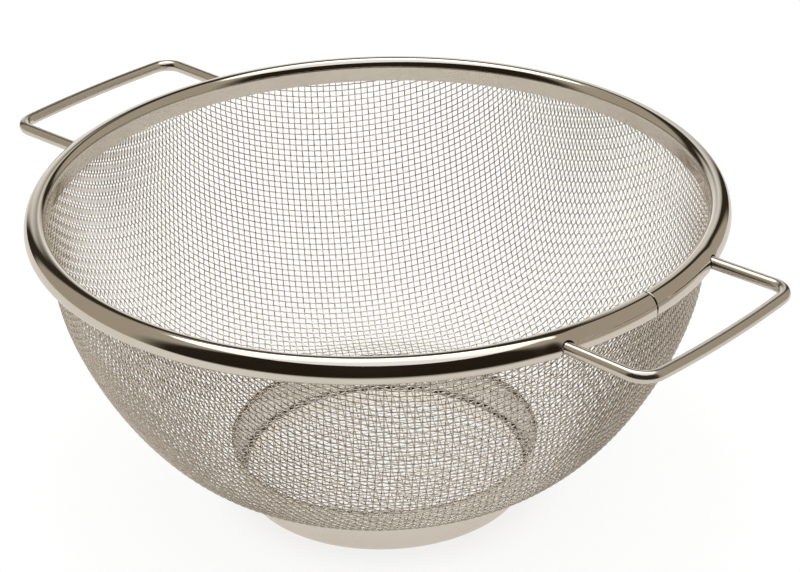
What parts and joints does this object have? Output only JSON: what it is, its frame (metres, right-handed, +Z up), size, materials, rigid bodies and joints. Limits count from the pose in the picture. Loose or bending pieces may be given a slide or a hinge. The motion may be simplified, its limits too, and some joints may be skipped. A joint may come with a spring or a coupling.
{
  "type": "mesh strainer",
  "caption": "Round bowl of woven steel wire cloth in a rolled sheet rim, with a wire loop handle on each side and a ring foot to stand on; strains and rinses food.",
  "frame": {"origin": "on the bowl's axis, in the plane that the foot ring stands on", "axes": "+Z up along the bowl's axis; +X towards one handle and -X towards the other; +Y level, across the handles"},
  "size_m": [0.297, 0.24, 0.1129],
  "materials": {
    "cloth_wire": "drawn stainless wire, woven, slightly dull",
    "rim_sheet": "polished, with faint lengthwise rolling marks",
    "drawn_wire": "drawn wire, polished, with faint lengthwise marks",
    "foot_sheet": "satin rolled sheet"
  },
  "bodies": {
    "root": {"mesh_bowl": "cloth_wire", "rim_band": "rim_sheet", "rim_core_wire": "drawn_wire", "right_handle": "drawn_wire", "left_handle": "drawn_wire", "foot_ring": "foot_sheet"}
  },
  "joints": []
}
